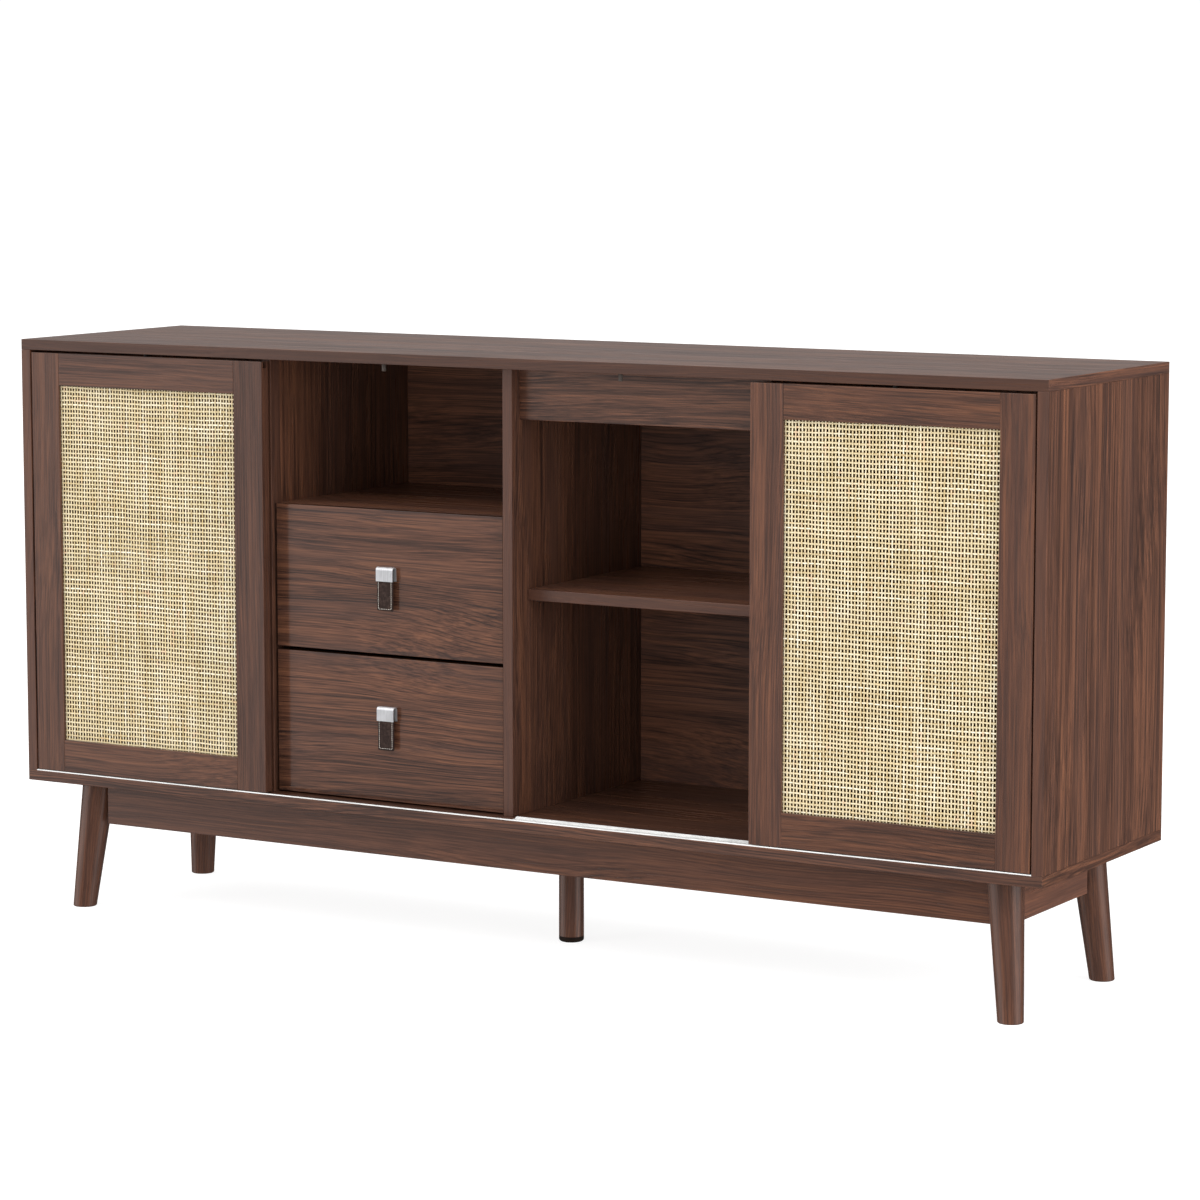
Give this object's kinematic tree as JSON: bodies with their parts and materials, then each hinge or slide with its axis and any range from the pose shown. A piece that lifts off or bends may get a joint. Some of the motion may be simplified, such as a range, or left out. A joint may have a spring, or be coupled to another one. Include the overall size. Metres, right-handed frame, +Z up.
{
  "type": "sideboard",
  "caption": "Low walnut sideboard: two sliding doors with woven cane panels, two drawers with leather pulls, an open bay with a shelf, and splayed round legs.",
  "frame": {"origin": "centre of the footprint, on the floor", "axes": "+X to the viewer's right along the width, +Y to the back, +Z up; the doors face -Y"},
  "size_m": [1.6, 0.385, 0.825],
  "materials": {
    "walnut": "matt walnut wood-grain laminate",
    "walnut_leg": "satin walnut-stained solid wood",
    "walnut_back": "matt dark walnut-faced hardboard",
    "drawer_box": "matt walnut laminate",
    "cane": "natural woven cane",
    "track": "satin white anodised",
    "nylon": "plain nylon",
    "zinc": "zinc plated",
    "slide_steel": "zinc-plated rolled steel",
    "clip_steel": "brushed silver",
    "leather": "matt dark brown with pale stitching",
    "black_plastic": "black moulded"
  },
  "bodies": {
    "cabinet": {"top_panel": "walnut", "bottom_panel": "walnut", "side_panel_left": "walnut", "side_panel_right": "walnut", "divider_left": "walnut", "divider_center": "walnut", "divider_right": "walnut", "back_panel_left": "walnut_back", "back_panel_right": "walnut_back", "drawer_bay_shelf": "walnut", "open_bay_shelf": "walnut", "shelf_left": "walnut", "shelf_right": "walnut", "fascia_rail": "walnut", "track_front_lip": "track", "track_channel": "track", "door_guide_pins": "nylon", "shelf_pins": "zinc", "cam_locks": "zinc", "slide_rails": "slide_steel", "apron_front": "walnut", "apron_rear": "walnut", "apron_left": "walnut", "apron_right": "walnut", "leg_front_left": "walnut_leg", "leg_front_right": "walnut_leg", "leg_rear_left": "walnut_leg", "leg_rear_right": "walnut_leg", "middle_leg": "walnut_leg", "middle_leg_cap": "black_plastic"},
    "door_left": {"door_left_stile_left": "walnut", "door_left_stile_right": "walnut", "door_left_rail_top": "walnut", "door_left_rail_bottom": "walnut", "door_left_cane": "cane", "door_left_cane_beads": "walnut", "door_left_skids": "nylon"},
    "door_right": {"door_right_stile_left": "walnut", "door_right_stile_right": "walnut", "door_right_rail_top": "walnut", "door_right_rail_bottom": "walnut", "door_right_cane": "cane", "door_right_cane_beads": "walnut", "door_right_skids": "nylon"},
    "drawer_upper": {"drawer_upper_front": "walnut", "drawer_upper_side_left": "drawer_box", "drawer_upper_side_right": "drawer_box", "drawer_upper_back": "drawer_box", "drawer_upper_bottom": "drawer_box", "drawer_upper_runners": "slide_steel", "drawer_upper_handle_clip": "clip_steel"},
    "drawer_lower": {"drawer_lower_front": "walnut", "drawer_lower_side_left": "drawer_box", "drawer_lower_side_right": "drawer_box", "drawer_lower_back": "drawer_box", "drawer_lower_bottom": "drawer_box", "drawer_lower_runners": "slide_steel", "drawer_lower_handle_clip": "clip_steel"},
    "tab_upper": {"drawer_upper_handle_tab": "leather"},
    "tab_lower": {"drawer_lower_handle_tab": "leather"}
  },
  "joints": [
    {"name": "door_left_slide", "type": "slide", "parent": "cabinet", "child": "door_left", "axis": [-1, 0, 0], "range_m": [-0.375, 0]},
    {"name": "door_right_slide", "type": "slide", "parent": "cabinet", "child": "door_right", "axis": [1, 0, 0], "range_m": [-0.375, 0]},
    {"name": "drawer_upper_slide", "type": "slide", "parent": "cabinet", "child": "drawer_upper", "axis": [0, -1, 0], "range_m": [0, 0.23]},
    {"name": "drawer_lower_slide", "type": "slide", "parent": "cabinet", "child": "drawer_lower", "axis": [0, -1, 0], "range_m": [0, 0.23]},
    {"name": "tab_upper_swing", "type": "hinge", "parent": "drawer_upper", "child": "tab_upper", "pos_m": [-0.19625, -0.1698, 0.5105], "axis": [-1, 0, 0], "range_deg": [0, 20]},
    {"name": "tab_lower_swing", "type": "hinge", "parent": "drawer_lower", "child": "tab_lower", "pos_m": [-0.19625, -0.1698, 0.317], "axis": [-1, 0, 0], "range_deg": [0, 20]}
  ]
}
